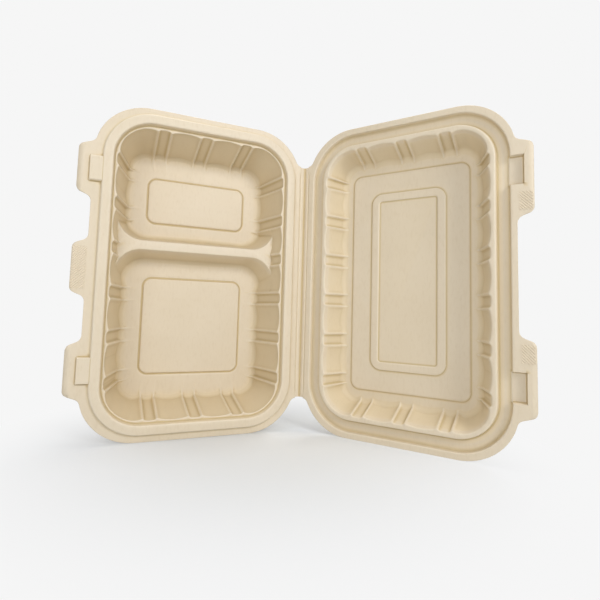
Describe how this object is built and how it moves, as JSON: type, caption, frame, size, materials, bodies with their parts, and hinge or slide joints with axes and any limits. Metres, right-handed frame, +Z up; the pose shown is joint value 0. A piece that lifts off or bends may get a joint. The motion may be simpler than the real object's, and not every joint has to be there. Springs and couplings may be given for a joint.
{
  "type": "hinged meal tray",
  "caption": "Moulded fibre meal tray with two compartments and a shallow hinged lid on one long edge, standing open like a book.",
  "frame": {"origin": "on the floor under the middle of the standing tray's box", "axes": "+X to the right along the base's width, +Y behind the base, +Z up along the hinge; base on the -X side with its hollow facing -Y, lid on the +X side swung towards -Y"},
  "size_m": [0.2742, 0.1796, 0.245],
  "materials": {
    "fibre": "matte pressed plant fibre, unbleached beige"
  },
  "bodies": {
    "base": {"base_tray": "fibre"},
    "lid": {"lid": "fibre"}
  },
  "joints": [
    {"name": "lid_hinge", "type": "hinge", "parent": "base", "child": "lid", "pos_m": [0.0371, 0.05184, 0.1225], "axis": [0, 0, -1], "range_deg": [-55, 125]}
  ]
}
